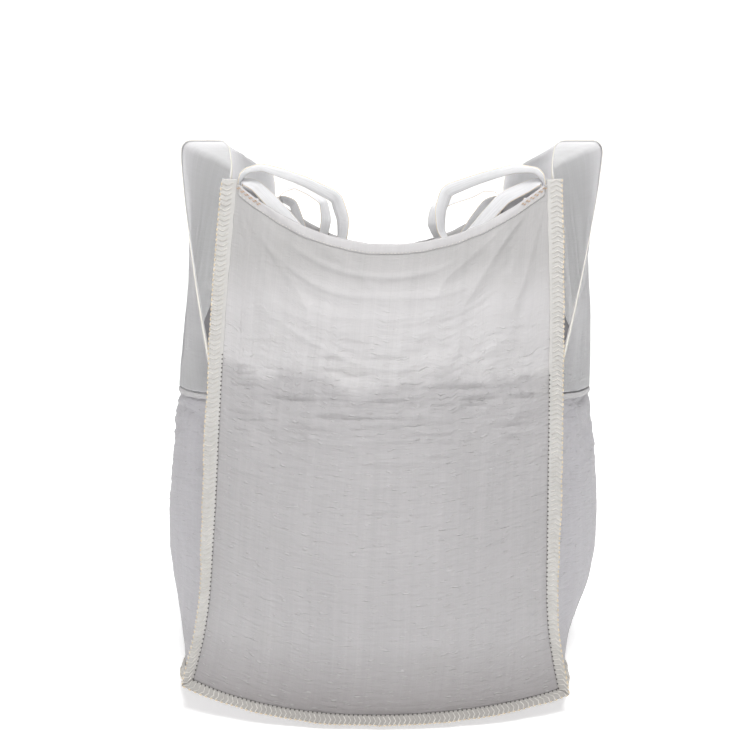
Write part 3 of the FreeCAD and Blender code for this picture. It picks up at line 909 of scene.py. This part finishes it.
def strap(name, centre, width_way, face_way):
    """Webbing with rounded edges, swept along a line of points."""
    half, lip = WEBBING_WIDTH / 2, WEBBING_THICKNESS / 2
    section = [(-half + lip, lip), (-half / 3, lip), (half / 3, lip), (half - lip, lip), (half, 0),
               (half - lip, -lip), (half / 3, -lip), (-half / 3, -lip), (-half + lip, -lip), (-half, 0)]
    size = len(section)
    rows = len(centre)
    lengths = along_line(centre)
    points = np.concatenate([centre[:, None] + width_way[:, None] * a + face_way[:, None] * b
                             for a, b in section], axis=1)
    uv = np.array([[(a + half, along) for a, _ in section] for along in lengths]).reshape(-1, 2)
    ids = np.arange(rows * size).reshape(rows, size)
    ahead = np.roll(ids, -1, axis=1)
    sides = np.stack([ids[:-1], ahead[:-1], ahead[1:], ids[1:]], axis=-1).reshape(-1, 4).tolist()
    caps = [ids[0, ::-1].tolist(), ids[-1].tolist()]
    return mesh_object(name, points.reshape(-1, 3), sides + caps, uv)


def corner_loop(side, end):
    """One lifting loop, bent along its route from the bag's corner."""
    node = f"{END_NAMES[end]}_{SIDE_NAMES[side]}_loop"
    line = smooth_route(STUB + LOOP_ROUTES[END_NAMES[end], SIDE_NAMES[side]] + LOWER_STUB)
    corner = side_wall(side, float(end), np.array([CORNER_HEIGHT]))[0]
    middle_y = end * (430.0 - WEBBING_WIDTH / 2)
    share = np.linspace(0, 1, len(line))
    sag = 4.0 * noise(share * 5, 0, 700 + side + 2 * end)
    centre = np.stack([corner[0] - side * line[:, 0], middle_y + sag, CORNER_HEIGHT + line[:, 1]], axis=-1)
    tangent = unit(np.gradient(centre, axis=0))
    level = unit(np.array([0.0, float(end), 0.0]) - tangent * (tangent[:, 1:2] * end))
    lift = np.cross(tangent, level)
    twist = np.radians(np.interp(share * (len(LOOP_TWIST) - 1), range(len(LOOP_TWIST)), LOOP_TWIST))[:, None]
    twist = np.convolve(np.pad(twist[:, 0], 6, mode="edge"), np.ones(13) / 13, "valid")[:, None]
    width_way = level * np.cos(twist) + lift * np.sin(twist) * side * -end
    face_way = np.cross(tangent, width_way)
    piece = strap(node + "_webbing", centre, width_way, face_way)
    piece.data.materials.append(finish_of("webbing"))
    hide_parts(node)
    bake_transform(piece)
    tails(side, end, node)


def tails(side, end, node):
    """The loop's two sewn ends inside the bag, with their bars of stitches."""
    down = np.linspace(0, 1, 40)
    for wall_name, wall, relief, half, inward, near, top in (
            ("end", lambda a, z: end_wall(end, a, z), lambda a, z: end_relief(end, a, z), TOP_HALF_WIDTH,
             np.array([0.0, -end, 0.0]), side, rim_height),
            ("side", lambda a, z: side_wall(side, a, z), lambda a, z: side_relief(side, a, z), TOP_HALF_DEPTH,
             np.array([-side, 0.0, 0.0]), end, lambda a: CORNER_HEIGHT)):
        across = near * (1 - (TAIL_INSET + WEBBING_WIDTH / 2) / half)
        z = top(across) - 8 - TAIL_LENGTH * (1 - down)
        pushed = relief(np.full_like(z, across), z)
        centre = wall(np.full_like(z, across), z) + inward * (TAIL_STAND_OFF - pushed)[:, None]
        tangent = unit(np.gradient(centre, axis=0))
        face = unit(inward - tangent * (tangent @ inward)[:, None])
        width_way = np.cross(tangent, face)
        piece = strap(f"{node}_{wall_name}_tail", centre, width_way, face)
        nodes = (node + "_ends",) if wall_name == "end" else ()
        dress(piece, finish_of("webbing"), ROOT, nodes)
        bars = []
        for row in np.linspace(3, 36, 14).astype(int):
            for offset in np.linspace(-17, 17, 5):
                bars.append((centre[row] + width_way[row] * offset + face[row] * 1.3,
                             tangent[row] if row % 3 else width_way[row], face[row]))
        spots, way, facing = (np.array(list(column)) for column in zip(*bars))
        stitched(f"{node}_{wall_name}_stitches", "stitch", spots, way, facing, stitch_size("tail"),
                 "loop_thread")
        if wall_name == "end":
            bar_across = near * (1 - np.linspace(6, 62, 12) / half)
            bar_z = top(bar_across) - 7.0
            bar = wall(bar_across, bar_z) - inward * (relief(bar_across, bar_z) + 5.2)[:, None]
            bar = bar + np.array([0, 0, 1.0]) * np.where(np.arange(12) % 2, 2.5, -2.5)[:, None]
            stitched(f"{node}_bar", "stitch", bar, np.tile([0.8 * near, 0, 0.6], (12, 1)),
                     np.tile(-inward, (12, 1)), stitch_size("corner bar"), "loop_thread")


# ---------------------------------------------------------------------------------------------
# Settings and operators.

class BulkBagSettings(bpy.types.PropertyGroup):
    """Sizes and colours that a user would change."""

    cloth_thickness: FloatProperty(name="Cloth thickness", description="Thickness of the woven cloth",
                                   default=0.0014, min=0.0004, max=0.003, unit="LENGTH")
    fold_depth: FloatProperty(name="Fold depth", description="How deep the folds and creases are",
                              default=1.0, min=0.0, max=2.0, subtype="FACTOR")
    overlock_pitch: FloatProperty(name="Overlock pitch", description="Distance between overlock stitches",
                                  default=0.0120, min=0.004, max=0.03, unit="LENGTH")
    detail: IntProperty(name="Detail", description="Points across the front panel",
                        default=188, min=40, max=220)
    end_colour: FloatVectorProperty(name="End cloth", description="Colour of the front and back cloth",
                                    default=(0.525, 0.513, 0.517), subtype="COLOR", size=3)
    side_colour: FloatVectorProperty(name="Side cloth", description="Colour of the side and sleeve cloth",
                                     default=(0.45, 0.438, 0.46), subtype="COLOR", size=3)
    webbing_colour: FloatVectorProperty(name="Webbing", description="Colour of the lifting loops",
                                        default=(0.90, 0.90, 0.92), subtype="COLOR", size=3)
    thread_colour: FloatVectorProperty(name="Thread", description="Colour of the overlock thread",
                                       default=(0.67, 0.65, 0.615), subtype="COLOR", size=3)


class BAG_OT_end_panels(bpy.types.Operator):
    """Makes the front and back walls of cloth"""
    bl_idname = "bulk_bag.end_panels"
    bl_label = "End Panels"

    def execute(self, context):
        columns = context.scene.bulk_bag.detail
        for (end, name), fine in zip(END_NAMES.items(), (1.0, 0.72)):
            piece = end_panel(f"{name}_panel_cloth", end, int(columns * fine), int(columns * fine * 1.33))
            dress(piece, finish_of("end"), ROOT, (f"{name}_panel",))
        return {"FINISHED"}


class BAG_OT_side_panels(bpy.types.Operator):
    """Makes the left and right walls and the base"""
    bl_idname = "bulk_bag.side_panels"
    bl_label = "Side and Base Panels"

    def execute(self, context):
        columns = int(context.scene.bulk_bag.detail * 0.75)
        for side, name in SIDE_NAMES.items():
            piece = side_panel(f"{name}_panel_cloth", side, columns, int(columns * 1.33))
            dress(piece, finish_of("side"), ROOT, (f"{name}_panel",))
        piece = base_panel("base_panel_cloth", 90, 90)
        dress(piece, finish_of("side"), ROOT, ("base_panel",))
        return {"FINISHED"}


class BAG_OT_sleeves(bpy.types.Operator):
    """Makes both fork sleeves with their hems and bound mouths"""
    bl_idname = "bulk_bag.sleeves"
    bl_label = "Fork Sleeves"

    def execute(self, context):
        for side, name in SIDE_NAMES.items():
            piece = sleeve(f"{name}_sleeve_cloth", side, 150, 170, 400 + side)
            dress(piece, finish_of("sleeve"), ROOT, (f"{name}_sleeve",))
            across, up = np.meshgrid(np.linspace(-0.994, 0.994, 240), np.linspace(0, 1, 9))
            pucker = 1.2 * noise(across * 36, 0, 420 + side)
            z = hem_height(across) - SLEEVE_HEM_WIDTH * (1 - up) + pucker
            points = side_wall(side, across, z)
            edge_band(f"{name}_sleeve_hem_roll", points, side, 2.0, finish_of("hem"),
                      (f"{name}_sleeve_hem",), 4.5)
            for end, end_name in END_NAMES.items():
                self.binding(side, name, end, end_name)
        return {"FINISHED"}

    def binding(self, side, name, end, end_name):
        """The strip that finishes one mouth of a sleeve."""
        across, along = np.meshgrid(np.linspace(1.0, 1 - BINDING_WIDTH / TOP_HALF_DEPTH, 6) * end,
                                    np.concatenate([np.linspace(0.05, 1, 10), np.linspace(1, 2, 8)[1:],
                                                    np.linspace(2, 3, 10)[1:], np.linspace(3, 4, 8)[1:],
                                                    np.linspace(4, 4.985, 120)[1:]]))
        points = sleeve_cloth(side, across, along)
        facing = side * end
        grid = points + normals_of(points) * facing * 1.5
        piece = sheet_object(f"{name}_sleeve_{end_name}_binding_strip", grid, 1.6, facing)
        dress(piece, finish_of("binding"), ROOT, (f"{name}_sleeve_{end_name}_binding",))


class BAG_OT_rims(bpy.types.Operator):
    """Makes the turned hems along the front and back rims"""
    bl_idname = "bulk_bag.rims"
    bl_label = "Rim Hems"

    def execute(self, context):
        for end, name in END_NAMES.items():
            across, up = np.meshgrid(np.linspace(-0.975, 0.975, 300), np.linspace(0, 1, 9))
            width = RIM_HEM_WIDTH + noise(across * 9, 0, 431)
            z = rim_height(across) + 2.0 - width * (1 - up) + 0.9 * noise(across * 14, 0, 430)
            points = end_wall(end, across, z)
            points[..., 1] += end * end_relief(end, across, z)
            edge_band(f"{name}_rim_hem_fold", points, -end, 2.0, finish_of("hem"),
                      (f"{name}_rim_hem",), 2.2)
            run = np.linspace(-0.96, 0.96, 88)
            line = end_wall(end, run, rim_height(run) - RIM_STITCH_DROP)
            line[:, 1] += end * end_relief(end, run, rim_height(run) - RIM_STITCH_DROP)
            ahead = end_wall(end, run + 0.004, rim_height(run + 0.004) - RIM_STITCH_DROP) - line
            facing = np.tile([0.0, float(end), 0.0], (len(run), 1))
            stitched(f"{name}_rim_stitches", "stitch", line + facing * 4.2, ahead, facing,
                     stitch_size("rim"), "white_thread")
        return {"FINISHED"}


class BAG_OT_seams(bpy.types.Operator):
    """Makes the overlocked allowances of every seam"""
    bl_idname = "bulk_bag.seams"
    bl_label = "Overlocked Seams"

    def execute(self, context):
        across = np.linspace(-1.0, 1.0, 300)
        for end, name in END_NAMES.items():
            for side in SIDE_NAMES:
                corner_seam(side, end)
            ears = self.ears(across, (-1, end), (1, end))
            root = end_wall(end, across, base_seam_height(across, 1))
            base_seam(f"{name}_bottom_seam", across, root, (0, end), ears, 600 + end, -end)
        for side, name in SIDE_NAMES.items():
            ears = self.ears(across, (side, -1), (side, 1))
            root = side_wall(side, across, base_seam_height(side, across))
            base_seam(f"{name}_bottom_seam", across, root, (side, 0), ears, 610 + side, side, 0.45)
        return {"FINISHED"}

    def ears(self, across, first, last):
        """Where the allowances stand out to at a seam's two ends, for each point of the seam."""
        low = np.full(1, BASE_SEAM_CORNER)
        first, last = fin_reach(*first, low)[0], fin_reach(*last, low)[0]
        return np.where((across < 0)[:, None], first, last)


class BAG_OT_loops(bpy.types.Operator):
    """Makes the webbing loops at the four corners"""
    bl_idname = "bulk_bag.loops"
    bl_label = "Corner Loops"

    def execute(self, context):
        for end in END_NAMES:
            for side in SIDE_NAMES:
                corner_loop(side, end)
        return {"FINISHED"}


# Name, place, target, size in metres and power in watts.
LAMPS = (
    ("key", (0.35, -3.0, 4.6), (0, 0, 0.75), 1.6, 190),
    ("fill", (-2.6, -3.6, 1.9), (0, 0, 0.7), 2.4, 22),
    ("top", (0, 0.6, 4.2), (0, 0, 0.5), 2.2, 40),
)
SURROUND_LIGHT = 0.29
CAMERA_PLACE = (SHIFT[0] * MM, -2.587, 1.162)
CAMERA_TILT = 86
CAMERA_LENS = 43.2
CAMERA_SHIFT = (-0.0107, -0.088)


class BAG_OT_stage(bpy.types.Operator):
    """Sets the floor, lights and camera"""
    bl_idname = "bulk_bag.stage"
    bl_label = "Stage"

    def execute(self, context):
        scene = context.scene
        scene.view_settings.view_transform = "Standard"
        self.floor()
        for lamp in LAMPS:
            self.light(*lamp)
        world = bpy.data.worlds.new("studio")
        scene.world = world
        world.use_nodes = True
        background = world.node_tree.nodes["Background"]
        background.inputs["Color"].default_value = (1, 1, 1, 1)
        background.inputs["Strength"].default_value = SURROUND_LIGHT
        self.camera(scene)
        return {"FINISHED"}

    def floor(self):
        """A pale sheet that runs back and curves up behind the bag."""
        depth, radius, half = 3.2, 1.6, 6.0
        arc = [(depth + radius * math.sin(a), radius - radius * math.cos(a))
               for a in np.linspace(0, math.pi / 2, 24)]
        section = [(-6.0, 0.0)] + arc + [(depth + radius, 6.0)]
        points = [(x * half, y, z) for y, z in section for x in (-1, 1)]
        faces = [(2 * i, 2 * i + 1, 2 * i + 3, 2 * i + 2) for i in range(len(section) - 1)]
        mesh = bpy.data.meshes.new("studio_sheet")
        mesh.from_pydata(points, [], faces)
        mesh.polygons.foreach_set("use_smooth", [True] * len(faces))
        sheet = link(bpy.data.objects.new("studio_sheet", mesh))
        mesh.materials.append(plain_paper("studio_paper", (0.93, 0.93, 0.93)))

    def light(self, name, place, target, size, power):
        data = bpy.data.lights.new(name, "AREA")
        data.shape = "DISK"
        data.size = size
        data.energy = power
        lamp = link(bpy.data.objects.new(name, data))
        lamp.location = place
        way = np.array(target) - np.array(place)
        lamp.rotation_euler = (math.atan2(math.hypot(way[0], way[1]), -way[2]), 0,
                               math.atan2(way[1], way[0]) - math.pi / 2)

    def camera(self, scene):
        data = bpy.data.cameras.new("camera")
        data.sensor_width = 36
        data.lens = CAMERA_LENS
        data.shift_x, data.shift_y = CAMERA_SHIFT
        camera = link(bpy.data.objects.new("camera", data))
        camera.location = CAMERA_PLACE
        camera.rotation_euler = (math.radians(CAMERA_TILT), 0, 0)
        scene.camera = camera


STEPS = (BAG_OT_end_panels, BAG_OT_side_panels, BAG_OT_sleeves, BAG_OT_rims, BAG_OT_seams, BAG_OT_loops,
         BAG_OT_stage)


class BAG_PT_sidebar(bpy.types.Panel):
    """Lists the bag's settings and steps"""
    bl_label = "Bulk Bag"
    bl_idname = "BAG_PT_sidebar"
    bl_space_type = "VIEW_3D"
    bl_region_type = "UI"
    bl_category = "Bulk Bag"

    def draw(self, context):
        column = self.layout.column()
        for name in BulkBagSettings.__annotations__:
            column.prop(context.scene.bulk_bag, name)
        for step in STEPS:
            column.operator(step.bl_idname)


CLASSES = (BulkBagSettings,) + STEPS + (BAG_PT_sidebar,)


def register():
    for item in CLASSES:
        bpy.utils.register_class(item)
    bpy.types.Scene.bulk_bag = PointerProperty(type=BulkBagSettings)


def unregister():
    del bpy.types.Scene.bulk_bag
    for item in reversed(CLASSES):
        bpy.utils.unregister_class(item)


def main():
    register()
    TREES["overlock"] = overlock_tree()
    TREES["stitch"] = stitch_tree()
    bpy.ops.bulk_bag.end_panels()
    bpy.ops.bulk_bag.side_panels()
    bpy.ops.bulk_bag.sleeves()
    bpy.ops.bulk_bag.rims()
    bpy.ops.bulk_bag.seams()
    bpy.ops.bulk_bag.loops()
    bpy.ops.bulk_bag.stage()


if __name__ == "__main__":
    main()
